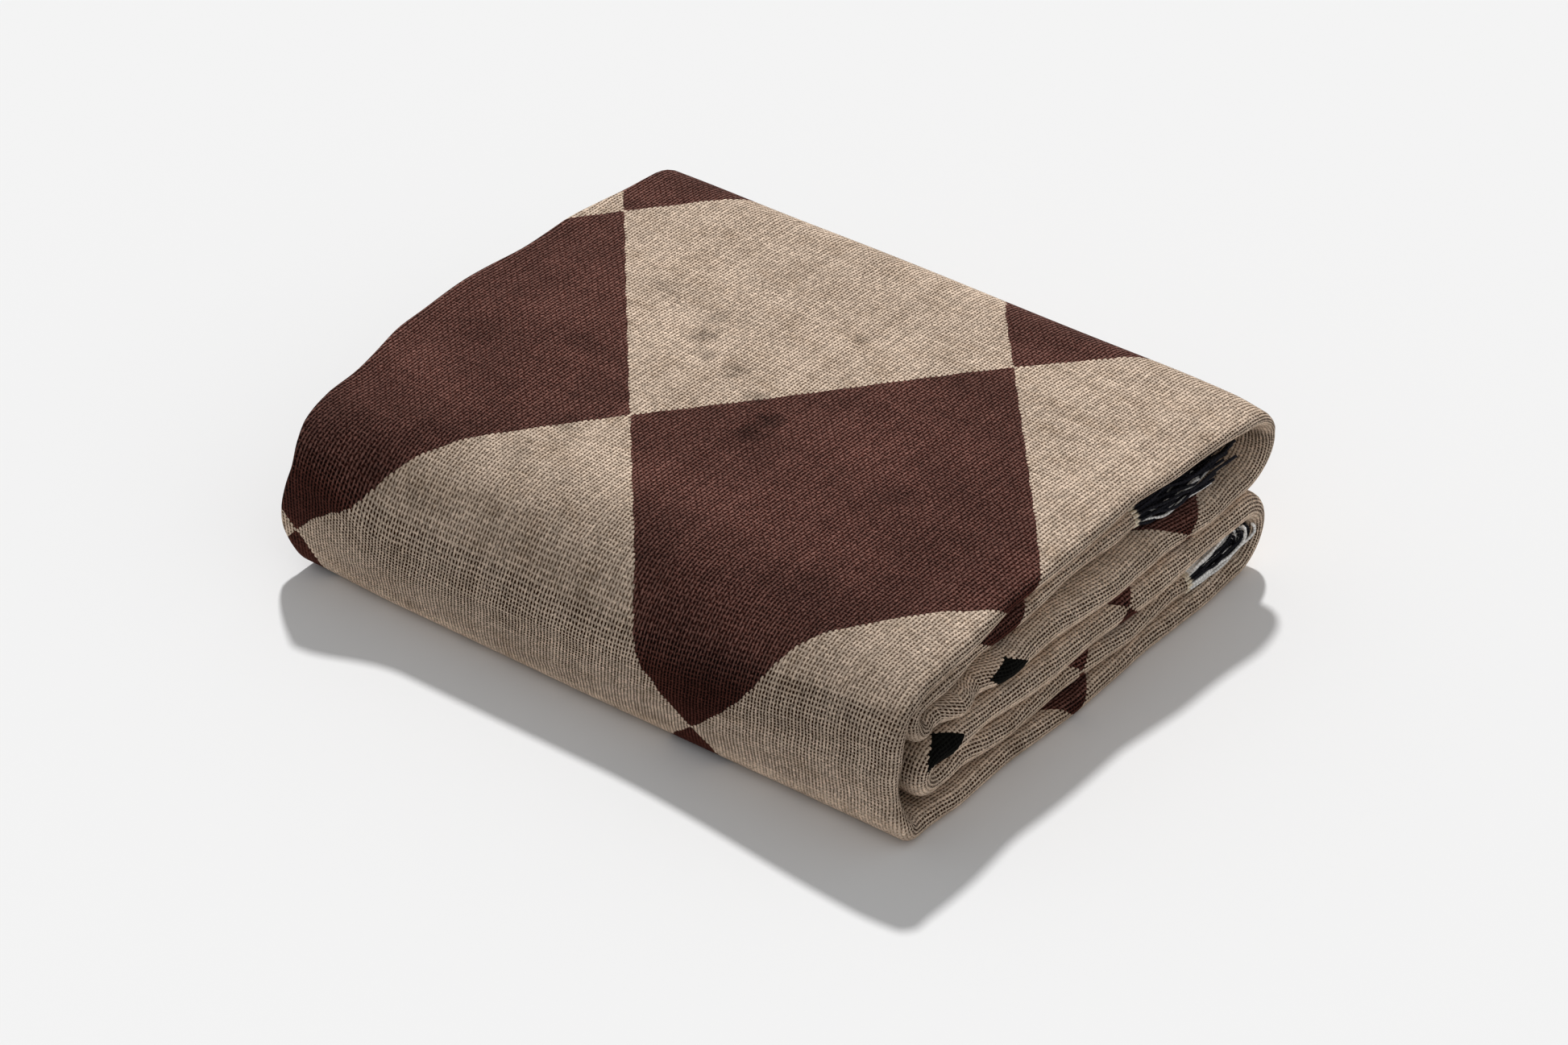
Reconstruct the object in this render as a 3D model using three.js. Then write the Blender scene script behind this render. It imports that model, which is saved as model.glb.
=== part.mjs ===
// Folded woven throw with a yarn fringe on its two short edges, lying flat on a table.
// Millimetres, +Z up. X runs along the pile, the smooth outer wrap faces -Y, the floor is z = 0.
//
// The throw is folded in three across its width, like a letter, which gives a ply of three layers.
// The ply then runs back and forth in the YZ plane: six legs, joined by five turns.
import * as THREE from "three";

// Driving dimensions
const CLOTH = 2.2; // thickness of the woven cloth
const DEPTH = 254; // near side to far side of the pile
const EDGE_GAP = 0.3; // cloth edge to fringe
const WALL_PLY = 8.2; // ply where it is pulled tight over the near side
const WALL_EASE = 0.25; // share of the wrap, at each end, over which the ply gets that tight
const RIGHT_SAG = 2.6; // the upper plies droop this much at the right end
const LEFT_SAG = 1.0;
const SAG_START = 95; // distance from the middle where the droop begins
const SAG_REACH = 60;
const SAG_HEIGHT = 70; // height at which the droop is full
const SHOULDER = 0.45; // share of its height that the pile loses at the near side, where the wrap rounds it off
const SHOULDER_REACH = 42; // distance from the near side where the top begins to fall
const SHOULDER_CURVE = 2;
const SQUARE_RIGHT = { start: 0, run: 150, share: 0.75 }; // share of the shoulder that is missing at that end
const SQUARE_LEFT = { start: 95, run: 50, share: 0.85 };
const INNER_FLAP_SHORT = 4; // inner flap's loose edge, short of the right fold
const OUTER_FLAP_SHORT = 5; // outer flap's loose edge, short of the left fold

// Legs in the order the cloth runs, from one fringed edge to the other.
// from and to are measured from the near side. The other columns hold three values,
// at the near side, the middle and the far side: the height of the ply's middle,
// the ply's thickness, and where its right and left ends lie. A leg with no height lies on the floor.
const LEGS = [
  {
    name: "inner upper", from: 166, to: 23.5, height: [51.2, 54.4, 56.2],
    ply: [8.2, 9.4, 9.2], right: [149, 143.5, 144], left: [-146, -153, -149],
  },
  {
    name: "lower of the upper half", from: 23.5, to: 229, height: [41.9, 42.3, 41],
    ply: [8.2, 13.6, 11], right: [150, 153, 151.5], left: [-149, -152, -150],
  },
  {
    name: "top", from: 237, to: 34, height: [60, 65.2, 64.3],
    ply: [9.5, 9.5, 9.5], right: [152.5, 144, 151], left: [-150, -161.6, -154],
  },
  {
    name: "bottom", from: 18, to: 223, height: null,
    ply: [9.5, 9.2, 10.5], right: [154.8, 156.4, 154], left: [-143.5, -149, -147],
  },
  {
    name: "upper of the lower half", from: 231, to: 25, height: [31.8, 27.9, 28.6],
    ply: [11, 13.4, 12], right: [153.5, 154.5, 153], left: [-150, -151, -150],
  },
  {
    name: "inner lower", from: 25, to: 190, height: [19.2, 15, 16],
    ply: [11, 10, 9.5], right: [153.5, 153.5, 152.5], left: [-150, -152, -150],
  },
];

// Turns between the legs: -1 at the near side, 1 at the far side.
// A turn with no reach is round. The third one is the outer wrap, shaped by the wall below.
const TURNS = [
  { side: -1, reach: null },
  { side: 1, reach: 18 },
  { side: -1, wall: true },
  { side: 1, reach: 13 },
  { side: -1, reach: null },
];

// The outer wrap from the top leg down to the bottom leg: height as a share of the way up,
// the distance of the ply's middle from the near side, and where its left end lies.
const WALL = [
  { up: 1.0, in: 22.0, left: -152.0 },
  { up: 0.985, in: 15.0, left: -150.0 },
  { up: 0.93, in: 9.0, left: -147.5 },
  { up: 0.82, in: 5.4, left: -146.5 },
  { up: 0.65, in: 4.3, left: -149.5 },
  { up: 0.45, in: 4.9, left: -152.5 },
  { up: 0.27, in: 5.0, left: -153.0 },
  { up: 0.14, in: 4.2, left: -150.0 },
  { up: 0.05, in: 5.8, left: -146.5 },
  { up: 0.0, in: 11.0, left: -144.5 },
];

// Fringes: out is the distance from the cloth's edge, rise the change of height from there.
const FRINGES = [
  {
    node: "fringe_upper", leg: LEGS[0], edge: LEGS[0].from,
    rows: [
      { out: EDGE_GAP, rise: 0, ply: 9.2 },
      { out: 3.5, rise: 0, ply: 9 },
      { out: 38, rise: -1, ply: 7.6 },
      { out: 70, rise: -1.6, ply: 6.4 },
    ],
  },
  {
    node: "fringe_lower", leg: LEGS[5], edge: LEGS[5].to,
    rows: [
      { out: EDGE_GAP, rise: 0, ply: 9.6 },
      { out: 3.5, rise: 0.2, ply: 9.2 },
      { out: 36, rise: 1, ply: 7 },
    ],
  },
];
const STRAND = 1.8; // thickness of a bundle of yarns
const TEETH = 16; // bundles on each layer of the folded edge
const TOOTH_SHARE = 0.55; // a bundle's share of its pitch

// Mesh steps
const LEG_STEPS = 4;
const SHOULDER_STATIONS = [29, 35, 42]; // every leg has stations at these distances from the near side
const TURN_STEPS = 6;
const WALL_STEPS = 18;
const LEFT_STEPS = 4;
const RIGHT_STEPS = 6;
const RUN_SHARES = [0, 0.08, 0.24, 0.4, 0.53, 0.66, 0.79, 0.92, 1];
const TANGENT_STEP = 1e-4; // share of a turn over which its direction is taken

const FINISHES = {
  cloth: { color: "#6e5547", roughness: 0.95, metalness: 0 },
  yarn: { color: "#1b1c26", roughness: 0.9, metalness: 0 },
};

const smooth = (share) => share * share * (3 - 2 * share);
const clamp01 = (value) => Math.min(1, Math.max(0, value));
const mix = (a, b, share) => a + (b - a) * share;

// Value at a distance y from the near side, on a parabola through the three values of a column.
function across([near, middle, far], y) {
  const u = y / DEPTH;
  return near * (1 - u) * (1 - 2 * u) + 4 * middle * u * (1 - u) + far * u * (2 * u - 1);
}

// One station of the ply: the place of its middle, its thickness and ends, and the way its outside faces.
function legStation(leg, y) {
  const ply = across(leg.ply, y);
  return {
    y,
    z: leg.height ? across(leg.height, y) : ply / 2,
    ply,
    right: across(leg.right, y),
    left: across(leg.left, y),
    facing: new THREE.Vector2(0, leg.to > leg.from ? -1 : 1),
  };
}

// The middle line of a turn in Y and Z, with its left end as X.
function turnCurve(turn, start, end) {
  const half = (start.z - end.z) / 2;
  if (turn.wall) {
    const corners = WALL.map((row) => new THREE.Vector3(row.left, row.in, mix(end.z, start.z, row.up)));
    const first = new THREE.Vector3(start.left, start.y, start.z);
    const last = new THREE.Vector3(end.left, end.y, end.z);
    const curve = new THREE.CatmullRomCurve3([first, ...corners, last], false, "catmullrom", 0.5);
    return (share) => curve.getPoint(share);
  }
  const reach = turn.reach ?? Math.abs(half);
  return (share) => {
    const angle = Math.PI * share;
    const y = mix(start.y, end.y, smooth(share)) + turn.side * reach * Math.sin(angle);
    const z = (start.z + end.z) / 2 + half * Math.cos(angle);
    return new THREE.Vector3(mix(start.left, end.left, smooth(share)), y, z);
  };
}

// Stations inside a turn, between the leg that ends and the leg that starts there.
function turnStations(turn, start, end) {
  const curve = turnCurve(turn, start, end);
  const steps = turn.wall ? WALL_STEPS : TURN_STEPS;
  const eased = (share) => smooth(clamp01(share / WALL_EASE));
  const stations = [];
  for (let step = 1; step < steps; step += 1) {
    const share = step / steps;
    const along = curve(share + TANGENT_STEP).sub(curve(share - TANGENT_STEP));
    const place = curve(share);
    const tight = turn.wall ? eased(share) * eased(1 - share) : 0;
    stations.push({
      y: place.y,
      z: place.z,
      ply: mix(mix(start.ply, end.ply, smooth(share)), WALL_PLY, tight),
      right: mix(start.right, end.right, smooth(share)),
      left: place.x,
      facing: new THREE.Vector2(along.z, -along.y).normalize(),
    });
  }
  return stations;
}

// Distances from the near side at which a leg has stations, in the order the cloth runs.
function legPlaces(leg) {
  const places = [];
  for (let step = 0; step <= LEG_STEPS; step += 1) places.push(mix(leg.from, leg.to, step / LEG_STEPS));
  const low = Math.min(leg.from, leg.to);
  const apart = (y) => places.every((place) => Math.abs(place - y) > 1);
  places.push(...SHOULDER_STATIONS.filter((y) => y > low && apart(y)));
  return places.sort((a, b) => (leg.to > leg.from ? a - b : b - a));
}

function clothStations() {
  const stations = [];
  LEGS.forEach((leg, index) => {
    legPlaces(leg).forEach((y) => stations.push(legStation(leg, y)));
    const next = LEGS[index + 1];
    if (next) {
      const start = stations[stations.length - 1];
      stations.push(...turnStations(TURNS[index], start, legStation(next, next.from)));
    }
  });
  return stations;
}

function fringeStations(fringe) {
  const root = legStation(fringe.leg, fringe.edge);
  return fringe.rows.map((row) => ({
    ...root,
    y: fringe.edge + row.out,
    z: root.z + row.rise,
    ply: row.ply,
  }));
}

// The letter fold of one station: middle line of the cloth with the direction it faces, in (x, outward).
// It starts at the inner flap's loose edge, turns at the left end and at the right end,
// and stops at the outer flap's loose edge. shares divide each of the three straight runs.
function letterFold(station, shares) {
  const half = (station.ply - CLOTH) / 2;
  const small = half / 2;
  const leftTurn = station.left + CLOTH / 2 + small;
  const rightTurn = station.right - CLOTH / 2 - half;
  const points = [];
  const run = (from, to, out, faces) => {
    shares.forEach((share) => points.push({ x: mix(from, to, share), out, faceX: 0, faceOut: faces }));
  };
  const turn = (x, out, radius, start, steps) => {
    for (let step = 1; step < steps; step += 1) {
      const angle = start - (Math.PI * step) / steps;
      const faceX = Math.cos(angle);
      const faceOut = Math.sin(angle);
      points.push({ x: x + radius * faceX, out: out + radius * faceOut, faceX, faceOut });
    }
  };
  run(rightTurn - INNER_FLAP_SHORT, leftTurn, 0, -1);
  turn(leftTurn, small, small, -Math.PI / 2, LEFT_STEPS);
  run(leftTurn, rightTurn, half, 1);
  turn(rightTurn, 0, half, Math.PI / 2, RIGHT_STEPS);
  run(rightTurn, station.left + OUTER_FLAP_SHORT, -half, -1);
  return points;
}

// Share of the shoulder that is left at x.
function shoulderLeft(x) {
  const faded = (side, end) => 1 - end.share * smooth(clamp01((side * x - end.start) / end.run));
  return faded(1, SQUARE_RIGHT) * faded(-1, SQUARE_LEFT);
}

// Last place of a point of the plain fold: the shoulder at the near side,
// then the droop of the pile's two ends, none at the floor and full at the top. The floor stops the cloth.
function settled(x, y, z) {
  const near = clamp01(1 - (y + DEPTH / 2) / SHOULDER_REACH);
  const low = Math.max(0, z) * (1 - SHOULDER * near ** SHOULDER_CURVE * shoulderLeft(x));
  const sag = x > 0 ? RIGHT_SAG : LEFT_SAG;
  const share = clamp01((Math.abs(x) - SAG_START) / SAG_REACH);
  return new THREE.Vector3(x, y, low - sag * share ** 2 * (low / SAG_HEIGHT) ** 2);
}

function placed(station, point, offset) {
  const out = point.out + offset * point.faceOut;
  const y = station.y - DEPTH / 2 + out * station.facing.x;
  const z = station.z + out * station.facing.y;
  return settled(point.x + offset * point.faceX, y, z);
}

// Closed solid of a folded sheet. isCloth says which cells of the station by section grid are there.
function sheetGeometry(stations, shares, thickness, isCloth) {
  const sections = stations.map((station) => letterFold(station, shares));
  const columns = sections[0].length;
  const positions = [];
  const indices = [];
  const known = new Map();
  const vertex = (row, column, side) => {
    const key = (row * columns + column) * 2 + (side > 0 ? 1 : 0);
    if (!known.has(key)) {
      const place = placed(stations[row], sections[row][column], (side * thickness) / 2);
      known.set(key, positions.length / 3);
      positions.push(place.x, place.y, place.z);
    }
    return known.get(key);
  };
  const quad = (a, b, c, d) => indices.push(a, b, c, a, c, d);
  const filled = (row, column) =>
    row >= 0 && row < stations.length - 1 && column >= 0 && column < columns - 1 && isCloth(row, column);
  for (let row = 0; row < stations.length - 1; row += 1) {
    for (let column = 0; column < columns - 1; column += 1) {
      if (!filled(row, column)) continue;
      const corners = [[row, column], [row + 1, column], [row + 1, column + 1], [row, column + 1]];
      const neighbours = [[row, column - 1], [row + 1, column], [row, column + 1], [row - 1, column]];
      const outer = corners.map(([r, c]) => vertex(r, c, 1));
      const inner = corners.map(([r, c]) => vertex(r, c, -1));
      quad(...outer);
      quad(inner[3], inner[2], inner[1], inner[0]);
      neighbours.forEach(([r, c], side) => {
        const next = (side + 1) % 4;
        if (!filled(r, c)) quad(outer[next], outer[side], inner[side], inner[next]);
      });
    }
  }
  const geometry = new THREE.BufferGeometry();
  geometry.setAttribute("position", new THREE.Float32BufferAttribute(positions, 3));
  geometry.setIndex(indices);
  geometry.computeVertexNormals();
  return geometry;
}

function clothMesh() {
  const geometry = sheetGeometry(clothStations(), RUN_SHARES, CLOTH, () => true);
  const mesh = new THREE.Mesh(geometry, new THREE.MeshStandardMaterial(FINISHES.cloth));
  mesh.name = "blanket_cloth";
  return mesh;
}

// Shares that divide a straight run into gap, tooth, gap, tooth and so on, ending with a gap.
function combShares() {
  const shares = [0];
  for (let tooth = 0; tooth < TEETH; tooth += 1) {
    const middle = (tooth + 0.5) / TEETH;
    shares.push(middle - TOOTH_SHARE / TEETH / 2, middle + TOOTH_SHARE / TEETH / 2);
  }
  shares.push(1);
  return shares;
}

// One comb along a folded edge: its spine is the first row of cells, its teeth all the rows after.
function fringeMesh(fringe) {
  const shares = combShares();
  const runStarts = [
    0,
    shares.length + LEFT_STEPS - 1,
    2 * shares.length + LEFT_STEPS + RIGHT_STEPS - 2,
  ];
  const isTooth = (column) =>
    runStarts.some((start) => {
      const cell = column - start;
      return cell >= 0 && cell < shares.length - 1 && cell % 2 === 1;
    });
  const stations = fringeStations(fringe);
  // The upper comb leaves its leg against the way the cloth runs, so its rows are turned round.
  const againstCloth = fringe.leg.to < fringe.leg.from;
  if (againstCloth) stations.reverse();
  const spineRow = againstCloth ? stations.length - 2 : 0;
  const isYarn = (row, column) => row === spineRow || isTooth(column);
  const geometry = sheetGeometry(stations, shares, STRAND, isYarn);
  const mesh = new THREE.Mesh(geometry, new THREE.MeshStandardMaterial(FINISHES.yarn));
  mesh.name = fringe.node;
  return mesh;
}

const blanket = new THREE.Group();
const cloth = clothMesh();
blanket.add(cloth, ...FRINGES.map(fringeMesh));
// Origin on the floor under the middle of the pile
const middle = new THREE.Box3().setFromObject(cloth).getCenter(new THREE.Vector3());
blanket.position.set(-middle.x, -middle.y, 0);

export default blanket;
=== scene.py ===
"""Folded woven throw: a cloth folded in three and then back and forth, with its yarn fringes tucked in.

Laid out as a Blender add-on and run as a script. Shapes are worked out in millimetres in the frame
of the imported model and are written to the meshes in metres.
"""

import math

import bpy
import numpy as np
from bpy.props import FloatProperty, FloatVectorProperty, PointerProperty
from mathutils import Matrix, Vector


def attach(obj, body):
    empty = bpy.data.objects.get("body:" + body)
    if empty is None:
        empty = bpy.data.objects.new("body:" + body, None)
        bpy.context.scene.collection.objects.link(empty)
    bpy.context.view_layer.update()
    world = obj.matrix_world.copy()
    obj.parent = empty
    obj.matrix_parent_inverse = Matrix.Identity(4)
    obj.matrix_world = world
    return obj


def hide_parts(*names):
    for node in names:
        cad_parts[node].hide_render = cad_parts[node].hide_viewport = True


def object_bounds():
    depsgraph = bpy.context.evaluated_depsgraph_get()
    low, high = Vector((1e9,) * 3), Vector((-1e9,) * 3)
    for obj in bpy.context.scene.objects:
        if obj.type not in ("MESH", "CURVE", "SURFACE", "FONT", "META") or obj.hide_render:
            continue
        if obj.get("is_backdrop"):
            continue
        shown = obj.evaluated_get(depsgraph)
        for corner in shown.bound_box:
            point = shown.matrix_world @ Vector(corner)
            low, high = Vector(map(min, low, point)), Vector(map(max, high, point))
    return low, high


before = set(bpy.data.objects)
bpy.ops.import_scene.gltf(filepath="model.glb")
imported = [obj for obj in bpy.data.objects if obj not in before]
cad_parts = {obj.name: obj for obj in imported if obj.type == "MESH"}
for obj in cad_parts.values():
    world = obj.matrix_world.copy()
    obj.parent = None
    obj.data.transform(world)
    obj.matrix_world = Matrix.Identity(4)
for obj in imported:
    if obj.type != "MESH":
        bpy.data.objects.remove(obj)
CAD_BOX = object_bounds()

bl_info = {
    "name": "Folded woven throw",
    "version": (1, 0, 0),
    "blender": (4, 5, 0),
    "location": "3D View > Sidebar > Throw",
    "description": "Builds a folded throw with tucked-in fringes and a plain studio stage",
    "category": "Object",
}

MM = 0.001
COLOUR = {"size": 3, "subtype": "COLOR", "min": 0, "max": 1}

# The fold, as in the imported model.
DEPTH = 254.0  # near side to far side of the pile
WALL_PLY = 8.2
WALL_EASE = 0.25
RIGHT_SAG = 2.6
LEFT_SAG = 1.0
SAG_START = 95.0
SAG_REACH = 60.0
PILE_HEIGHT = 70.0
SHOULDER = 0.45  # share of its height that the pile loses at the near side, where the wrap rounds it off
SHOULDER_REACH = 42.0
SHOULDER_CURVE = 2.0
# Squarer ends: where the shoulder begins to fade, how far that takes, and the share that is missing there.
SQUARE_RIGHT = (0.0, 150.0, 0.75)
SQUARE_LEFT = (95.0, 50.0, 0.85)
DENT_START = 14.0  # height over which the dents fade in from the floor
INNER_FLAP_SHORT = 18.0
OUTER_FLAP_SHORT = 5.0
PILE_SHIFT = (2.57, -1.12)  # puts the origin under the middle of the pile

# Legs in the order the cloth runs. from and to are distances from the near side.
# The other columns hold three values, at the near side, the middle and the far side.
LEGS = (
    {
        "name": "inner_upper", "from": 166.0, "to": 23.5, "height": (51.2, 54.4, 56.2),
        "ply": (8.2, 9.4, 9.2), "right": (149, 143.5, 144), "left": (-146, -153, -149),
    },
    {
        "name": "upper_floor", "from": 23.5, "to": 229.0, "height": (41.9, 42.3, 41.0),
        "ply": (8.2, 13.6, 11.0), "right": (150, 153, 151.5), "left": (-149, -152, -150),
    },
    {
        "name": "top", "from": 237.0, "to": 34.0, "height": (60.0, 65.2, 64.3),
        "ply": (9.5, 9.5, 9.5), "right": (152.5, 144, 151), "left": (-150, -161.6, -154),
    },
    {
        "name": "bottom", "from": 18.0, "to": 223.0, "height": None,
        "ply": (9.5, 9.2, 10.5), "right": (154.8, 156.4, 154), "left": (-143.5, -149, -147),
    },
    {
        "name": "lower_roof", "from": 231.0, "to": 25.0, "height": (31.8, 27.9, 28.6),
        "ply": (11.0, 13.4, 12.0), "right": (153.5, 154.5, 153), "left": (-150, -151, -150),
    },
    {
        "name": "inner_lower", "from": 25.0, "to": 190.0, "height": (19.2, 15.0, 16.0),
        "ply": (11.0, 10.0, 9.5), "right": (153.5, 153.5, 152.5), "left": (-150, -152, -150),
    },
)
# Turns between the legs: which side they are on, and how far they reach. No reach is a round turn.
TURNS = (
    {"side": -1, "reach": None, "steps": 12},
    {"side": 1, "reach": 18.0, "steps": 18},
    {"side": -1, "wall": True, "steps": 44},
    {"side": 1, "reach": 13.0, "steps": 16},
    {"side": -1, "reach": None, "steps": 12},
)
# The outer wrap: height as a share of the way up, the distance from the near side, and the left end.
WALL = (
    (1.0, 22.0, -152.0), (0.985, 15.0, -150.0), (0.93, 9.0, -147.5), (0.82, 5.4, -146.5),
    (0.65, 4.3, -149.5), (0.45, 4.4, -152.5), (0.27, 4.8, -153.0), (0.14, 5.4, -150.0),
    (0.05, 7.0, -146.5), (0.0, 11.5, -144.5),
)

# Uneven ends of each leg: the distance from the near side, the half-length, and how far
# the right and the left end of the ply stand out there.
END_BUMPS = {
    "top": (
        (52, 16, 0.9, -1.0), (84, 12, -0.8, 1.4), (118, 20, 0.7, 0.6), (158, 14, -0.9, -1.2),
        (190, 12, 0.8, 1.0), (222, 12, -0.5, -0.8),
    ),
    "inner_upper": (
        (40, 9, 1.3, 1.0), (62, 10, -1.0, -1.5), (92, 14, 1.0, 1.0), (126, 12, -0.8, 1.6),
        (152, 9, 1.0, -1.0),
    ),
    "upper_floor": (
        (31, 6, -2.2, 0.8), (43, 6.5, 2.4, -0.8), (56, 7, -2.0, 1.0), (74, 9, 1.5, -1.2),
        (104, 13, -0.9, 1.0), (140, 15, 1.0, -1.0), (176, 11, -1.0, 1.2), (206, 12, 1.1, -0.8),
    ),
    "lower_roof": (
        (38, 8, 1.4, 1.0), (60, 10, -1.2, -1.0), (92, 13, 0.9, 1.2), (128, 12, -1.0, -1.2),
        (165, 14, 1.0, 1.0), (205, 13, -0.8, -1.0),
    ),
    "inner_lower": (
        (44, 8, -1.3, 1.0), (70, 11, 1.0, -1.2), (108, 14, -1.0, 1.0), (150, 12, 1.2, -1.0),
        (180, 8, -0.8, 1.2),
    ),
    "bottom": (
        (36, 10, 0.9, -0.8), (70, 14, -0.8, 1.0), (112, 16, 0.7, -1.0), (160, 14, -0.8, 0.8),
        (200, 12, 0.6, -0.8),
    ),
}
# Pinched right ends: the leg, how far its upper and its lower face close in on the ply at the near side,
# the middle and the far side, as shares of the ply.
PINCHES = {
    "top": ((0.22, 0.24, 0.14), (0.0, 0.0, 0.40)),
    "inner_upper": ((0.04, 0.04, 0.10), (0.12, 0.10, 0.05)),
    "upper_floor": ((0.0, 0.06, 0.26), (0.10, 0.08, 0.06)),
}
PINCH_RUN = 20.0
PINCH_START = 150.0  # distance from the near side past which the far value of the pinch holds
# The right end of the outer wrap: share of the way down, half-length, and how far it stands out.
WALL_BUMPS = ((0.16, 0.06, 1.2), (0.33, 0.09, 0.8), (0.60, 0.11, -3.0), (0.84, 0.07, 1.2))
# Soft troughs and ridges of the outside: the two ends of a crease, its half-width and rise.
# A crease on the top is given by x and the distance from the near side, one on the wrap by x and height.
TOP_CREASES = (
    ((-150, 52), (-118, 40), 9, -0.9), ((-156, 84), (-120, 92), 12, -0.7),
    ((-158, 128), (-112, 118), 13, 0.6), ((-152, 176), (-110, 190), 12, -0.6),
    ((-100, 30), (-34, 36), 5, -0.6), ((-78, 22), (-44, 24), 4, 0.5),
    ((-20, 30), (48, 38), 7, -0.5), ((70, 40), (128, 30), 6, -0.6), ((120, 62), (146, 44), 6, 0.6),
    ((128, 118), (146, 96), 7, -0.6), ((126, 190), (148, 172), 8, -0.5), ((-60, 236), (-20, 228), 7, -0.5),
    ((20, 232), (76, 240), 6, 0.5), ((96, 226), (142, 236), 7, -0.6), ((-126, 232), (-90, 238), 7, 0.5),
    ((-40, 120), (60, 150), 26, -0.5), ((20, 80), (110, 96), 22, 0.4), ((-110, 70), (-60, 150), 24, 0.4),
)
WALL_CREASES = (
    ((-136, 42), (-70, 52), 5, -0.7), ((-128, 28), (-60, 38), 6, 0.6), ((-88, 50), (-30, 54), 3.5, -0.6),
    ((-60, 38), (10, 46), 5, -0.6), ((-30, 22), (40, 30), 6, 0.5), ((16, 42), (80, 49), 4.5, -0.6),
    ((60, 24), (120, 33), 6, 0.5), ((90, 40), (146, 44), 4.5, -0.8), ((120, 16), (152, 24), 5, -0.6),
    ((-140, 14), (-96, 20), 5, -0.5), ((-84, 12), (-10, 15), 5, -0.4), ((30, 11), (104, 15), 5, -0.4),
)
CREASE_TAIL = 0.35  # how far a crease runs on past its two ends, as a share of its length
CREASE_TAPER = 0.5
TOP_ABOVE = 45.0  # creases of the top lie above this height
WALL_WITHIN = 40.0  # creases of the wrap lie this near to the near side
CREASE_FADE = 10.0
FACING_START = 0.35  # a face takes creases once it faces out this much, and fully a run further
FACING_RUN = 0.5
# Broad dents of the whole pile: the middle as x, distance from the near side and height, the half-width,
# and the push.
DENTS = (
    ((-152, 50, 52), 26, (1.2, 0.0, -0.8)), ((-156, 112, 46), 30, (-0.9, 0.0, 0.5)),
    ((-150, 178, 48), 28, (1.3, 0.0, -0.5)), ((-152, 120, 18), 26, (1.0, 0.0, 0.0)),
    ((-150, 210, 22), 28, (-1.0, 0.0, 0.0)), ((-96, 250, 52), 34, (0.0, -1.3, 0.3)),
    ((-20, 252, 50), 36, (0.0, 0.9, -0.4)), ((62, 250, 54), 32, (0.0, -1.1, 0.5)),
    ((120, 250, 46), 28, (0.0, 0.8, -0.3)), ((-70, 246, 18), 34, (0.0, 1.0, 0.0)),
    ((24, 246, 20), 36, (0.0, -1.0, 0.0)), ((96, 246, 18), 30, (0.0, 1.0, 0.0)),
    ((-60, 170, 70), 44, (0.0, 0.0, -0.8)), ((54, 200, 70), 40, (0.0, 0.0, 0.7)),
    ((30, 90, 70), 42, (0.0, 0.0, -0.6)), ((-100, 110, 70), 36, (0.0, 0.0, 0.6)),
)

# Yarn fringes: the station of the edge, and the path of the longest yarn from its start.
# Lengths are shares of that path on the lowest and the highest yarns. White lists the cords of white yarns
# round the right fold, each by the two angles it lies between, in degrees up from level. Stray is the share
# of the waviness.
FRINGE_GAP = 0.3
RIGHT_ROWS = (0.0, 0.9, 1.8)  # more rows of yarns inside the right fold
FRINGES = (
    {
        "name": "upper", "edge": 0, "bend": (0, 22, -2.5), "droop": (0.5, 48, -4.5), "tip": (1.0, 73, -3.0),
        "lengths": (0.60, 1.0), "white": ((-30, -2), (-84, -56)), "stray": 1.0, "seed": 3,
    },
    {
        "name": "lower", "edge": -1, "bend": (0, 26, -1.5), "droop": (0, 50, 0.0), "tip": (0, 40, 9.0),
        "lengths": (1.04, 0.80), "white": ((40, 80), (-24, 10), (-58, -38)), "stray": 0.7, "seed": 11,
    },
)
YARN_SIDES = 5
YARN_STEPS = 20

# Mesh steps of the cloth
LEG_STEP = 4.6
INNER_RUN = 12
LEFT_ARC = 8
OUTER_RUN = 72
RIGHT_ARC = 16
FLAP_RUN = 18
FLAP_CROWDING = 1.6  # crowds the steps of the flap towards the right fold
TURN_STEP = 1e-4  # share of a turn over which its direction is taken

# The weave. Yarns: thinnest and thickest half-width, level, and rise where they pass over.
LENGTHWISE = (0.23, 0.35, 0.80, 0.22)
CROSSWISE = (0.17, 0.29, 0.52, -0.26)
CLOSED_WIDER = 0.10  # how much wider the yarns are where the weave is closed
YARN_SWAY = 0.45  # how far the yarns stray, as a share of a crossing
# Noises of the cloth: scale, detail and roughness. The last one is for the yarns of the fringe.
FIBRE = (1.7, 4.0, 0.72)
FUZZ = (2.6, 3.0, 0.7)
PATCH = (14.0, 6.0, 0.62)
CLOUD = (48.0, 5.0, 0.68)
FLECK = (130.0, 2.0, 0.5)
RUMPLE = (95.0, 3.0, 0.55)
YARN_FUZZ = (1400.0, 3.0, 0.7)

# Tones, painted shade, stains and print
GAP_OPEN = (0.060, 0.024, 0.005)  # shade in the gaps of the weave where it is pulled open
GAP_CLOSED = (0.66, 0.58, 0.50)
CROWN = (1.36, 1.36, 1.36)  # shade on the crowns of the yarns
# Painted shade: the near shoulder is darkened where it turns away from the light
SHOULDER_SHADE = 0.25  # share of the colour that is lost along the near shoulder
SHOULDER_SHADE_REACH = (18.0, 70.0)  # distances from the near side where that starts to fade and where it ends
SHOULDER_SHADE_HEIGHTS = (12.0, 46.0)  # heights between which it fades in
STAIN_BEND = 12.0  # how far the edge of a stain wanders
STAIN_CORE = 0.2  # share of a stain's size that has its full tone
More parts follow.
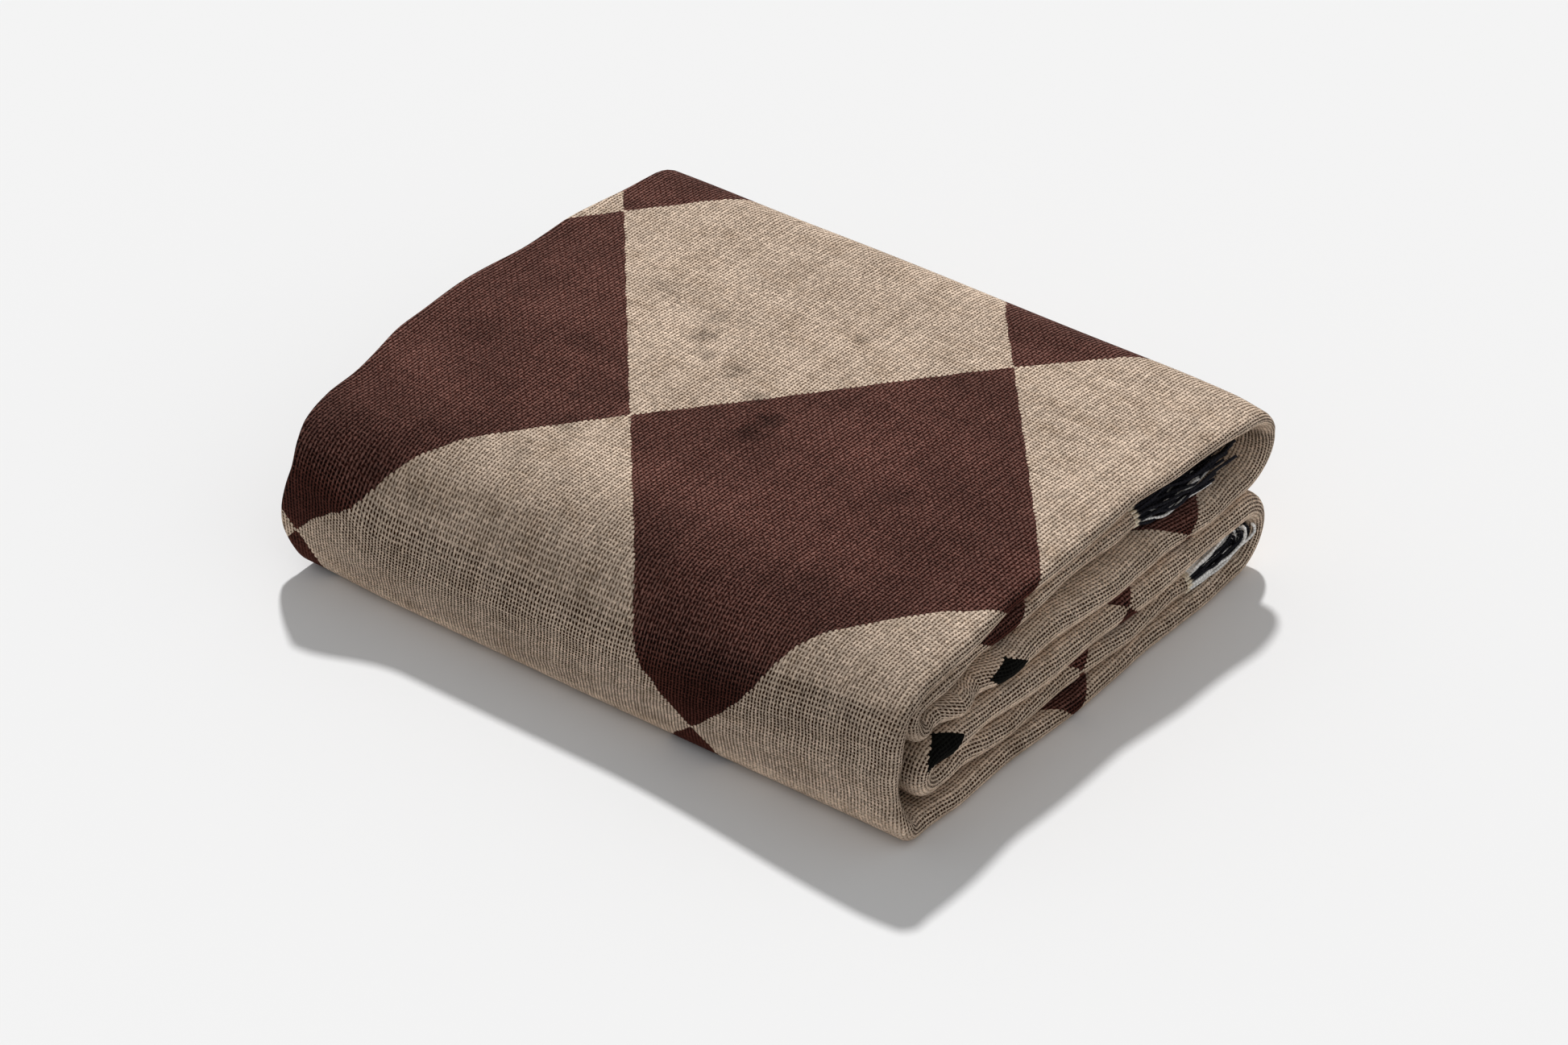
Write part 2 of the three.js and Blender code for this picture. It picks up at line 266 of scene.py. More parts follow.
# Smudges and specks: place on the pile, size, and the share of the colour that is lost.
# It is below zero where the cloth is rubbed pale.
STAINS = (
    ((-54, 22, 69.5), 9, 0.38), ((-45, 12, 69.5), 7, 0.32), ((-29, 9, 69.5), 7, 0.32),
    ((-10, 0, 69), 7, 0.38), ((4, -10, 69), 9, 0.5), ((3, -22, 69), 9, 0.45), ((16, -102, 58), 4, 0.7),
    ((-57, -59, 69), 10, 0.2), ((-62, -85, 66), 11, 0.18), ((-58, 36, 69.5), 10, 0.2),
    ((-89, 43, 69), 9, 0.18), ((-4, 58, 69), 6, 0.35), ((42, 94, 68), 4, 0.6), ((74, -22, 69), 12, 0.28),
    ((84, -80, 65), 12, 0.24), ((47, -6, 69), 5, -0.35), ((-95, -97, 60), 9, -0.16),
)
LOZENGE_MIDDLE = (56.0, 560.0)  # middle of one dark lozenge on the flat cloth
PRINT_STEP = 0.55  # how far an edge of the print follows the yarns, as a share of a crossing
PLAIN_MIDDLE = 0.65  # the rows without black accents, along the cloth
PLAIN_HALF = 0.30

# Yarns of the fringe
YARN_ATTRIBUTES = ("yarn_along", "yarn_tint", "yarn_pale")
YARN_TWIST = 0.0018
CORD_SCALE = 240.0  # cords of yarns that wave together, about four to the centimetre
SCATTER = 0.0009  # how far the yarns start from the middle of the cloth
FRINGE_INPUTS = {
    "NodeSocketFloat": ("Spacing", "Yarn radius", "Low", "High", "Low length", "High length", "Waviness"),
    "NodeSocketVector": ("Bend", "Droop", "Tip"),
    "NodeSocketInt": ("Seed",),
    "NodeSocketMaterial": ("Yarn",),
}

# The stage
LOOK_AT = (0.01804, -0.01827, 0.03118)
CAMERA_END = 50.0
FLOOR_HALF = 6.0


class ThrowCloth(bpy.types.PropertyGroup):
    thickness: FloatProperty(
        name="Thickness", description="Thickness of the woven cloth",
        default=0.0022, min=0.001, max=0.003, unit="LENGTH", precision=4,
    )
    width: FloatProperty(
        name="Flat width", description="Width of the throw before it is folded", default=0.92, unit="LENGTH",
    )
    length: FloatProperty(
        name="Flat length", description="Length of the throw before it is folded",
        default=1.30, unit="LENGTH",
    )
    rib: FloatProperty(
        name="Rib pitch", description="Distance between two ribs of the weave",
        default=0.0016, unit="LENGTH", precision=5,
    )
    pick: FloatProperty(
        name="Pick pitch", description="Distance between two cross yarns of the weave",
        default=0.00165, unit="LENGTH", precision=5,
    )
    lozenge_width: FloatProperty(
        name="Lozenge width", description="Width of one lozenge of the print", default=0.200, unit="LENGTH",
    )
    lozenge_length: FloatProperty(
        name="Lozenge length", description="Length of one lozenge of the print", default=0.236, unit="LENGTH",
    )
    maroon: FloatVectorProperty(
        name="Maroon", description="Colour of the dark lozenges",
        default=(0.056, 0.016, 0.011), **COLOUR,
    )
    # Paler maroon on the crowns of the yarns: a painted highlight, strongest on the top as a painted sheen
    rose: FloatVectorProperty(
        name="Highlight maroon", description="Colour of the dark lozenges on the crowns of the yarns",
        default=(0.150, 0.076, 0.062), **COLOUR,
    )
    beige: FloatVectorProperty(
        name="Beige", description="Colour of the pale lozenges",
        default=(0.555, 0.440, 0.345), **COLOUR,
    )
    stain: FloatVectorProperty(
        name="Stain", description="Colour of the stains on the pale lozenges",
        default=(0.340, 0.245, 0.170), **COLOUR,
    )
    accent: FloatProperty(
        name="Accent", description="Size of the black accents as a share of a lozenge",
        default=0.045, min=0, max=0.5,
    )
    black: FloatVectorProperty(
        name="Black", description="Colour of the small accents",
        default=(0.006, 0.006, 0.005), **COLOUR,
    )


class ThrowFringe(bpy.types.PropertyGroup):
    spacing: FloatProperty(
        name="Spacing", description="Distance between two yarns of the fringe", default=0.0011, min=0.0008,
        unit="LENGTH", precision=4,
    )
    yarn: FloatProperty(
        name="Yarn radius", description="Radius of one yarn", default=0.00066, unit="LENGTH", precision=5,
    )
    waviness: FloatProperty(
        name="Waviness", description="How far the yarns stray", default=0.0065, unit="LENGTH", precision=4,
    )
    fray: FloatProperty(
        name="Fray", description="Length of the pale frayed start",
        default=0.0034, unit="LENGTH", precision=4,
    )
    navy: FloatVectorProperty(
        name="Navy", description="Colour of most yarns",
        default=(0.0075, 0.0075, 0.0125), **COLOUR,
    )
    white: FloatVectorProperty(
        name="White", description="Colour of the pale yarns",
        default=(0.92, 0.90, 0.87), **COLOUR,
    )
    cream: FloatVectorProperty(
        name="Cream", description="Colour of the frayed start of the fringe",
        default=(0.84, 0.73, 0.57), **COLOUR,
    )


class ThrowStage(bpy.types.PropertyGroup):
    azimuth: FloatProperty(
        name="Camera azimuth", description="Angle of the camera round the pile",
        default=math.radians(37.9), subtype="ANGLE",
    )
    elevation: FloatProperty(
        name="Camera elevation", description="Angle of the camera above the floor",
        default=math.radians(34.35), subtype="ANGLE",
    )
    distance: FloatProperty(
        name="Camera distance", description="Camera to the point it looks at", default=2.056, unit="LENGTH",
    )
    lens: FloatProperty(
        name="Lens", description="Focal length on a 36 mm wide sensor", default=120.25, unit="CAMERA",
    )
    key_strength: FloatProperty(name="Key strength", description="Strength of the key light", default=2.7)
    key_height: FloatProperty(
        name="Key height", description="Angle of the key light above the floor",
        default=math.radians(45.0), subtype="ANGLE",
    )
    key_width: FloatProperty(
        name="Key width", description="Angle that the key light covers, which softens the shadow",
        default=math.radians(3.6), subtype="ANGLE",
    )
    fill: FloatProperty(name="Fill", description="Strength of the even light from all round", default=0.44)
    floor: FloatVectorProperty(
        name="Floor", description="Colour of the floor",
        default=(0.86, 0.86, 0.86), **COLOUR,
    )


def smooth(share):
    share = np.clip(share, 0.0, 1.0)
    return share * share * (3.0 - 2.0 * share)


def mix(a, b, share):
    return a + (b - a) * share


def across(values, y):
    """Value at a distance y from the near side, on a parabola through three values."""
    near, middle, far = values
    u = y / DEPTH
    return near * (1 - u) * (1 - 2 * u) + 4 * middle * u * (1 - u) + far * u * (2 * u - 1)


def bump(distance, half):
    return np.exp(-((distance / half) ** 2))


def leg_station(leg, y):
    ply = across(leg["ply"], y)
    bumps = [(bump(y - at, half), right, left) for at, half, right, left in END_BUMPS[leg["name"]]]
    return {
        "y": y,
        "z": across(leg["height"], y) if leg["height"] else ply / 2,
        "ply": ply,
        "right": across(leg["right"], y) + sum(share * right for share, right, left in bumps),
        "left": across(leg["left"], y) - sum(share * left for share, right, left in bumps),
        "facing": (0.0, -1.0 if leg["to"] > leg["from"] else 1.0),
        "pinch": pinch(leg, y),
    }


def pinch(leg, y):
    """How far the upper and the lower face of a leg's right end close in, as shares of the ply."""
    far = smooth((y - PINCH_START) / PINCH_RUN)
    near = smooth((y - DEPTH / 4) / (DEPTH / 4))
    return [mix(mix(*row[:2], near), row[2], far) for row in PINCHES.get(leg["name"], ((0, 0, 0), (0, 0, 0)))]


def spline_point(points, share):
    """Point on an evenly spaced spline through the points."""
    spans = len(points) - 1
    place = min(max(share, 0.0), 1.0) * spans
    index = min(int(place), spans - 1)
    t = place - index
    b = points[index]
    c = points[index + 1]
    a = points[index - 1] if index else 2 * b - c
    d = points[index + 2] if index + 2 <= spans else 2 * c - b
    return 0.5 * (2 * b + (c - a) * t + (2 * a - 5 * b + 4 * c - d) * t**2 + (3 * b - a - 3 * c + d) * t**3)


def turn_curve(turn, start, end):
    half = (start["z"] - end["z"]) / 2
    if turn.get("wall"):
        rows = [(inset, mix(end["z"], start["z"], up), left) for up, inset, left in WALL]
        ends = [(station["y"], station["z"], station["left"]) for station in (start, end)]
        points = np.array([ends[0], *rows, ends[1]])
        return lambda share: spline_point(points, share)
    reach = turn["reach"] or abs(half)

    def place(share):
        angle = math.pi * share
        y = mix(start["y"], end["y"], smooth(share)) + turn["side"] * reach * math.sin(angle)
        z = (start["z"] + end["z"]) / 2 + half * math.cos(angle)
        return np.array((y, z, mix(start["left"], end["left"], smooth(share))))

    return place


def turn_stations(turn, start, end):
    curve = turn_curve(turn, start, end)
    wall = turn.get("wall", False)
    for index in range(1, turn["steps"]):
        share = index / turn["steps"]
        along = (curve(share + TURN_STEP) - curve(share - TURN_STEP))[:2]
        along = along / np.linalg.norm(along)
        tight = smooth(share / WALL_EASE) * smooth((1 - share) / WALL_EASE) if wall else 0.0
        ease = smooth(share)
        y, z, left = curve(share)
        right = mix(start["right"], end["right"], ease)
        if wall:
            right += sum(push * bump(share - at, half) for at, half, push in WALL_BUMPS)
        yield {
            "y": y,
            "z": z,
            "ply": mix(mix(start["ply"], end["ply"], ease), WALL_PLY, tight),
            "right": right,
            "left": left,
            "facing": (along[1], -along[0]),
            "pinch": [mix(a, b, ease) for a, b in zip(start["pinch"], end["pinch"])],
        }


def cloth_stations():
    """Stations of the ply from one fringed edge to the other, with the way walked to each."""
    stations = []
    for index, leg in enumerate(LEGS):
        steps = max(2, round(abs(leg["to"] - leg["from"]) / LEG_STEP))
        for step in range(steps + 1):
            stations.append(leg_station(leg, mix(leg["from"], leg["to"], step / steps)))
        if index + 1 < len(LEGS):
            following = LEGS[index + 1]
            start = stations[-1]
            stations.extend(turn_stations(TURNS[index], start, leg_station(following, following["from"])))
    walked = 0.0
    for index, station in enumerate(stations):
        if index:
            before = stations[index - 1]
            walked += math.hypot(station["y"] - before["y"], station["z"] - before["z"])
        station["walked"] = walked
    return stations


def letter_fold(station, cloth):
    """Middle line of one station: x, outward, the two parts of its facing, its place on the flat cloth."""
    half = (station["ply"] - cloth) / 2
    small = half / 2
    left_turn = station["left"] + cloth / 2 + small
    right_turn = station["right"] - cloth / 2 - half
    inner = mix(right_turn - INNER_FLAP_SHORT, left_turn, np.linspace(0, 1, INNER_RUN))
    outer = mix(left_turn, right_turn, np.linspace(0, 1, OUTER_RUN))
    flap = mix(right_turn, station["left"] + OUTER_FLAP_SHORT, np.linspace(0, 1, FLAP_RUN) ** FLAP_CROWDING)
    swing_left = np.linspace(0, math.pi, LEFT_ARC + 1)[1:-1]
    swing_right = np.linspace(0, math.pi, RIGHT_ARC + 1)[1:-1]
    rows = []

    def run(x, out, faces, flat):
        rows.append(np.stack([x, np.full_like(x, out), np.zeros_like(x), np.full_like(x, faces), flat], 1))

    def arc(x, out, radius, angle, flat):
        c = np.cos(angle)
        s = np.sin(angle)
        rows.append(np.stack([x + radius * c, out + radius * s, c, s, flat], 1))

    run(inner, 0.0, -1.0, left_turn - small * math.pi - (inner - left_turn))
    arc(left_turn, small, small, -math.pi / 2 - swing_left, left_turn - small * (math.pi - swing_left))
    run(outer, half, 1.0, outer)
    round_it = half + cloth / 2
    arc(right_turn, 0.0, half, math.pi / 2 - swing_right, right_turn + round_it * swing_right)
    run(flap, -half, -1.0, right_turn + round_it * math.pi + (right_turn - flap))
    section = np.concatenate(rows)
    upper, lower = station["pinch"] if station["facing"][1] > 0 else station["pinch"][::-1]
    near_end = smooth((section[:, 0] - station["right"]) / PINCH_RUN + 1)
    section[:, 1] += near_end * (lower * (half - section[:, 1]) - upper * (half + section[:, 1]))
    return section


def crease_rise(places, creases):
    """Rise of soft creases at places given by two coordinates."""
    rise = np.zeros(places.shape[:-1])
    for start, end, half, height in creases:
        a = np.array(start, float)
        run = np.array(end, float) - a
        share = ((places - a) @ run) / (run @ run)
        beside = places - a - np.clip(share, 0, 1)[..., None] * run
        taper = smooth((share + CREASE_TAIL) / CREASE_TAPER)
        taper = taper * smooth((1 + CREASE_TAIL - share) / CREASE_TAPER)
        rise += height * taper * bump(np.linalg.norm(beside, axis=-1), half)
    return rise


def creased(points, facing, outside):
    """Moves the outside of the top and of the wrap along its facing by the hand-placed creases."""
    x, y, z = points[..., 0], points[..., 1] + DEPTH / 2, points[..., 2]
    upward = smooth((facing[..., 1] - FACING_START) / FACING_RUN) * smooth((z - TOP_ABOVE) / CREASE_FADE)
    sideways = smooth((-facing[..., 0] - FACING_START) / FACING_RUN) * smooth((WALL_WITHIN - y) / CREASE_FADE)
    rise = upward * crease_rise(np.stack([x, y], -1), TOP_CREASES)
    rise = rise + sideways * crease_rise(np.stack([x, z], -1), WALL_CREASES)
    moved = points.copy()
    moved[..., 1:] += (rise * outside)[..., None] * facing
    return moved


def shoulder(points):
    """Lowers the near side of the pile, less towards its two ends, and stops it at the floor."""
    near = np.clip(1 - (points[..., 1] + DEPTH / 2) / SHOULDER_REACH, 0, 1)
    drop = SHOULDER * near**SHOULDER_CURVE
    for side, (start, run, share) in ((1, SQUARE_RIGHT), (-1, SQUARE_LEFT)):
        drop = drop * (1 - share * smooth((side * points[..., 0] - start) / run))
    lowered = points.copy()
    lowered[..., 2] = np.maximum(lowered[..., 2], 0) * (1 - drop)
    return lowered


def settled(points):
    """Puts points of the plain fold in their last place: shoulder, dents, droop and shift."""
    points = shoulder(points)
    lift = smooth(points[..., 2] / DENT_START)[..., None]
    moved = points.copy()
    for (at_x, from_near, height), half, push in DENTS:
        away = np.linalg.norm(points - np.array((at_x, from_near - DEPTH / 2, height)), axis=-1)
        moved += lift * bump(away, half)[..., None] * np.array(push)
    x, y, z = moved[..., 0], moved[..., 1], moved[..., 2]
    sag = np.where(x > 0, RIGHT_SAG, LEFT_SAG)
    share = np.clip((np.abs(x) - SAG_START) / SAG_REACH, 0, 1)
    z = z - sag * share**2 * (z / PILE_HEIGHT) ** 2
    return np.stack([x + PILE_SHIFT[0], y + PILE_SHIFT[1], z], -1)


def cloth_arrays(cloth):
    """Vertices of both faces of the folded cloth, its quads, its two maps and the shares for its material."""
    thickness = cloth.thickness / MM
    stations = cloth_stations()
    sections = np.stack([letter_fold(station, thickness) for station in stations])
    rows, columns = sections.shape[:2]
    facing = np.array([station["facing"] for station in stations])[:, None, :]
    middle = np.array([(station["y"] - DEPTH / 2, station["z"]) for station in stations])[:, None, :]
    walked = np.array([station["walked"] for station in stations])
    half_ply = np.array([(station["ply"] - thickness) / 2 for station in stations])[:, None]
    skins = [middle[:, 0] + (side * half_ply) * facing[:, 0] for side in (1.0, -1.0)]
    longest = np.max([np.linalg.norm(np.diff(skin, axis=0), axis=1) for skin in skins], axis=0)
    picks = np.concatenate([[0.0], np.cumsum(longest)])
    faces = []
    for side in (0.5, -0.5):
        x = sections[..., 0] + side * thickness * sections[..., 2]
        out = sections[..., 1] + side * thickness * sections[..., 3]
        yz = middle + out[..., None] * facing
        outside = smooth(sections[..., 1] / half_ply)
        plain = np.concatenate([x[..., None], yz], -1)
        faces.append(creased(plain, np.broadcast_to(facing, yz.shape), outside))
    points = settled(np.stack(faces)).reshape(-1, 3)
    index = np.arange(2 * rows * columns).reshape(2, rows, columns)
    outer, inner = index
    quads = [
        np.stack([outer[:-1, :-1], outer[1:, :-1], outer[1:, 1:], outer[:-1, 1:]], -1),
        np.stack([inner[:-1, 1:], inner[1:, 1:], inner[1:, :-1], inner[:-1, :-1]], -1),
        np.stack([outer[1:, 0], outer[:-1, 0], inner[:-1, 0], inner[1:, 0]], -1),
        np.stack([outer[:-1, -1], outer[1:, -1], inner[1:, -1], inner[:-1, -1]], -1),
        np.stack([outer[0, :-1], outer[0, 1:], inner[0, 1:], inner[0, :-1]], -1),
        np.stack([outer[-1, 1:], outer[-1, :-1], inner[-1, :-1], inner[-1, 1:]], -1),
    ]
    quads = np.concatenate([part.reshape(-1, 4) for part in quads])
    flat = sections[..., 4]
    lengthwise = np.broadcast_to(walked[:, None], flat.shape)
    flat_map = np.stack([flat, lengthwise], -1).reshape(-1, 2) * MM
    picks = np.broadcast_to(picks[:, None], flat.shape)
    rib_map = np.stack([flat * MM / cloth.rib, picks * MM / cloth.pick], -1).reshape(-1, 2)
    upward = sections[..., 3] * facing[..., 1]
    # The weave is pulled open round the folds, closed below them, and half closed on top as painted light.
    closed_and_lit = smooth((0.12 - upward) / 0.45) + 0.4 * smooth((upward - 0.6) / 0.3)
    # lit_top is the share of the upward faces that is painted lighter, with a painted sheen on the yarn
    # crowns
    shares = {"closed_and_lit": closed_and_lit, "lit_top": smooth((upward - 0.15) / 0.7)}
    shares = {name: np.tile(share.ravel(), 2) for name, share in shares.items()}
    return points * MM, quads, np.tile(flat_map, (2, 1)), np.tile(rib_map, (2, 1)), shares


def new_mesh_object(name, points, quads):
    mesh = bpy.data.meshes.new(name)
    mesh.from_pydata(points.tolist(), [], quads.tolist())
    mesh.update()
    piece = bpy.data.objects.new(name, mesh)
    bpy.context.scene.collection.objects.link(piece)
    mesh.polygons.foreach_set("use_smooth", [True] * len(mesh.polygons))
    return piece


def add_map(mesh, name, values):
    """Stores a map given for the vertices on the mesh's corners."""
    corners = np.zeros(len(mesh.loops), np.int32)
    mesh.loops.foreach_get("vertex_index", corners)
    layer = mesh.uv_layers.new(name=name)
    layer.data.foreach_set("uv", values[corners].astype(np.float32).ravel())


class Tree:
    """Short calls for building a node tree."""

    def __init__(self, tree):
        self.tree = tree

    def node(self, kind, inputs=(), **settings):
        node = self.tree.nodes.new(kind)
        node.location = (190 * (len(self.tree.nodes) % 12), -220 * (len(self.tree.nodes) // 12))
        for name, value in settings.items():
            setattr(node, name, value)
        for name, value in dict(inputs).items():
            self.put(node.inputs[name], value)
        return node

    def put(self, socket, value):
        if isinstance(value, bpy.types.NodeSocket):
            self.tree.links.new(value, socket)
        elif value is not None:
            socket.default_value = value

    def out(self, kind, inputs=(), output=0, **settings):
        """One output of a new node."""
        return self.node(kind, inputs, **settings).outputs[output]

    def math(self, operation, *values):
        return self.out("ShaderNodeMath", dict(enumerate(values)), operation=operation)

    def plus(self, a, b):
        return self.math("ADD", a, b)

    def minus(self, a, b):
        return self.math("SUBTRACT", a, b)

    def times(self, a, b):
        return self.math("MULTIPLY", a, b)

    def fit(self, value, factor, offset):
        return self.math("MULTIPLY_ADD", value, factor, offset)

    def vector(self, operation, *values, output="Vector"):
        return self.out("ShaderNodeVectorMath", dict(enumerate(values)), output, operation=operation)

    def scale(self, vector, factor):
        return self.out("ShaderNodeVectorMath", {0: vector, "Scale": factor}, operation="SCALE")

    def blend(self, share, a, b, mode="MIX"):
        return self.out("ShaderNodeMix", {0: share, 6: a, 7: b}, 2, data_type="RGBA", blend_type=mode)

    def noise(self, vector, scale, detail, roughness):
        inputs = {"Vector": vector, "Scale": scale, "Detail": detail, "Roughness": roughness}
        return self.out("ShaderNodeTexNoise", inputs)

    def ramp(self, value, low, high, to_low=0.0, to_high=1.0):
        inputs = dict(enumerate((value, low, high, to_low, to_high)))
        return self.out("ShaderNodeMapRange", inputs, interpolation_type="SMOOTHSTEP")


def rgba(colour):
    return (*colour, 1.0)


def scaled(colour, factor):
    return rgba(factor * value for value in colour)


def plain_material(name):
    material = bpy.data.materials.new(name)
    material.use_nodes = True
    tree = Tree(material.node_tree)
    material.node_tree.nodes.clear()
    shader = tree.node("ShaderNodeBsdfPrincipled")
    output = tree.node("ShaderNodeOutputMaterial")
    tree.put(output.inputs["Surface"], shader.outputs[0])
    return material, tree, shader


def crossings(tree, ribs):
    """Numbers of the rib and the pick at a point, and its place from the middle of their crossing."""
    stray = {"Vector": ribs, "Scale": 0.11, "Detail": 3.0, "Roughness": 0.6}
    stray = tree.node("ShaderNodeSeparateColor", {"Color": tree.out("ShaderNodeTexNoise", stray, "Color")})
    along = tree.node("ShaderNodeSeparateXYZ", {"Vector": ribs})
    strayed = []
    for axis in (0, 1):
        sway = tree.fit(stray.outputs[axis], 2 * YARN_SWAY, -YARN_SWAY)
        strayed.append(tree.plus(along.outputs[axis], sway))
    numbers = [tree.math("FLOOR", value) for value in strayed]
    places = [tree.minus(tree.math("FRACT", value), 0.5) for value in strayed]
    return (*numbers, *places)


def weave_height(tree, ribs, rib, pick, x, y, closed_and_lit):
    """Height of the woven yarns, 0 in the gaps and about 1 where a yarn passes over."""
    order = tree.math("FLOORED_MODULO", tree.plus(rib, pick), 2.0)
    over = tree.fit(order, 2.0, -1.0)

    def yarn(offset, along, number, thin, thick, level, side):
        """Height of one yarn system, from its round section and its path over and under."""
        chance = tree.out("ShaderNodeTexWhiteNoise", {"W": number}, "Value", noise_dimensions="1D")
        half = tree.fit(chance, thick - thin, thin)
        half = tree.fit(closed_and_lit, CLOSED_WIDER, half)
        share = tree.math("DIVIDE", offset, half)
        section = tree.minus(1.0, tree.times(share, share))
        section = tree.math("SQRT", tree.math("MAXIMUM", section, 0.0))
        wave = tree.times(tree.math("COSINE", tree.times(along, math.pi)), over)
        return tree.times(section, tree.fit(wave, side, level))

    lengthwise = yarn(x, y, rib, *LENGTHWISE)
    crosswise = yarn(y, x, pick, *CROSSWISE)
    height = tree.math("MAXIMUM", lengthwise, crosswise)
    fibre = tree.noise(ribs, *FIBRE)
    return tree.plus(height, tree.fit(fibre, 1.9, -0.96))


def lozenge_print(tree, cloth, flat, x, y):
    """Shares of the pale lozenges and of the black accents, with edges that step from yarn to yarn."""
    parts = tree.node("ShaderNodeSeparateXYZ", {"Vector": flat}).outputs
    u = tree.fit(x, -PRINT_STEP * cloth.rib, parts[0])
    v = tree.fit(y, -PRINT_STEP * cloth.pick, parts[1])
    wide = tree.math("DIVIDE", tree.minus(u, LOZENGE_MIDDLE[0] * MM), cloth.lozenge_width)
    tall = tree.math("DIVIDE", tree.minus(v, LOZENGE_MIDDLE[1] * MM), cloth.lozenge_length)
    rising = tree.plus(tree.plus(wide, tall), 0.5)
    falling = tree.plus(tree.minus(wide, tall), 0.5)
    number = tree.plus(tree.math("FLOOR", rising), tree.math("FLOOR", falling))
    pale = tree.math("FLOORED_MODULO", number, 2.0)
    inset = [tree.minus(tree.math("FRACT", part), 0.5) for part in (rising, falling)]
    inset = tree.math("MAXIMUM", *(tree.math("ABSOLUTE", part) for part in inset))
    column = tree.math("COMPARE", number, 1.0, 0.5)
    from_plain = tree.math("ABSOLUTE", tree.minus(v, PLAIN_MIDDLE))
    ends = tree.math("GREATER_THAN", from_plain, PLAIN_HALF)
    small = tree.math("LESS_THAN", inset, cloth.accent)
    return pale, tree.times(small, tree.times(column, ends))


def stains_and_shoulder_shade(tree):
    """Tone of the cloth: painted shade along the near shoulder, darker at each smudge, paler at the rubbed
    places.
    """
    place = tree.out("ShaderNodeTexCoord", output="Object")
    wander = tree.out("ShaderNodeTexNoise", {"Vector": place, "Scale": 120.0, "Detail": 4.0}, "Color")
    bent = tree.vector("MULTIPLY_ADD", wander, (STAIN_BEND * MM,) * 3, place)
    split = tree.node("ShaderNodeSeparateXYZ", {"Vector": place})
    reach = [(distance - DEPTH / 2) * MM for distance in SHOULDER_SHADE_REACH]
    low, high = (height * MM for height in SHOULDER_SHADE_HEIGHTS)
    # Painted shade, darkest low on the near shoulder and fading towards the top and the back
    near = tree.ramp(split.outputs["Y"], *reach, 1.0, 0.0)
    shoulder_shade = tree.times(near, tree.ramp(split.outputs["Z"], low, high))
    tone = tree.fit(shoulder_shade, -SHOULDER_SHADE, 1.0)
    for spot, size, lost in STAINS:
        middle = tuple((value + STAIN_BEND / 2) * MM for value in spot)
        away = tree.vector("DISTANCE", bent, middle, output="Value")
        mark = tree.ramp(away, STAIN_CORE * size * MM, size * MM, 1 - lost, 1.0)
        tone = tree.times(mark, tone)
    return tone


def woven_cotton(cloth):
    """Open plain weave, printed with lozenges, stained and a little uneven."""
    material, tree, shader = plain_material("woven_cotton")
    ribs, flat = (tree.out("ShaderNodeUVMap", uv_map=name) for name in ("ribs", "flat"))
    closed_and_lit, lit_top = (
        tree.out("ShaderNodeAttribute", output="Fac", attribute_name=name) for name in ("closed_and_lit", "lit_top")
    )
    rib, pick, x, y = crossings(tree, ribs)
    height = weave_height(tree, ribs, rib, pick, x, y, closed_and_lit)
    pale, accent = lozenge_print(tree, cloth, flat, x, y)

    # Unevenness of the dye: broad patches, cloudy stains and small flecks
    streaked = tree.out("ShaderNodeMapping", {"Vector": flat, "Scale": (1.0, 1.9, 1.0)})
    patch, cloud, fleck = (tree.noise(streaked, *noise) for noise in (PATCH, CLOUD, FLECK))
    # Paler maroon on the yarn crowns is a painted highlight, strongest on the top as a painted sheen
    crown = tree.fit(lit_top, 0.85, 0.15)
    crown = tree.times(tree.ramp(height, 0.35, 0.95), crown)
    maroon = tree.blend(crown, rgba(cloth.maroon), rgba(cloth.rose))
    soiled = tree.ramp(cloud, 0.58, 0.76, 1.0, 0.6)
    worn = tree.times(tree.ramp(patch, 0.32, 0.68, 0.78, 1.22), soiled)
    maroon = tree.blend(1.0, maroon, worn, "MULTIPLY")
    beige = tree.blend(tree.ramp(patch, 0.32, 0.68), scaled(cloth.beige, 0.90), scaled(cloth.beige, 1.06))
    beige = tree.blend(tree.ramp(cloud, 0.44, 0.74, 0.0, 0.55), beige, rgba(cloth.stain))
    beige = tree.blend(tree.ramp(fleck, 0.68, 0.78, 0.0, 0.6), beige, scaled(cloth.stain, 0.45))
    colour = tree.blend(pale, maroon, beige)
    colour = tree.blend(accent, colour, rgba(cloth.black))
    # Stains, and the painted shade of the near shoulder
    colour = tree.blend(1.0, colour, stains_and_shoulder_shade(tree), "MULTIPLY")

    # Shade of the weave: dark in the gaps, pale on the crowns, a little different at each crossing
    gap = tree.blend(tree.ramp(closed_and_lit, 0.0, 1.0), rgba(GAP_OPEN), rgba(GAP_CLOSED))
    lit = tree.blend(tree.ramp(height, 0.06, 0.74), gap, rgba(CROWN))
    # Painted light: the top is a little lighter
    lit = tree.blend(1.0, lit, tree.fit(lit_top, 0.06, 1.0), "MULTIPLY")
    colour = tree.blend(1.0, colour, lit, "MULTIPLY")
    crossing = tree.out("ShaderNodeCombineXYZ", {"X": rib, "Y": pick})
    chance = tree.out("ShaderNodeTexWhiteNoise", {"Vector": crossing}, "Value", noise_dimensions="2D")
    fuzz = tree.fit(tree.noise(ribs, *FUZZ), 2.2, -0.10)
    shade = tree.times(tree.fit(chance, 0.40, 0.82), fuzz)
    tree.put(shader.inputs["Base Color"], tree.scale(colour, shade))

    raised = tree.times(height, tree.ramp(closed_and_lit, 0.0, 1.0, 1.0, 0.35))
    raised = tree.plus(raised, tree.times(tree.noise(flat, *RUMPLE), 1.6))
    relief = {"Strength": 0.8, "Distance": 0.0006, "Height": raised}
    tree.put(shader.inputs["Normal"], tree.out("ShaderNodeBump", relief))
    shader.inputs["Roughness"].default_value = 0.9
    shader.inputs["Specular IOR Level"].default_value = 0.04
    return material


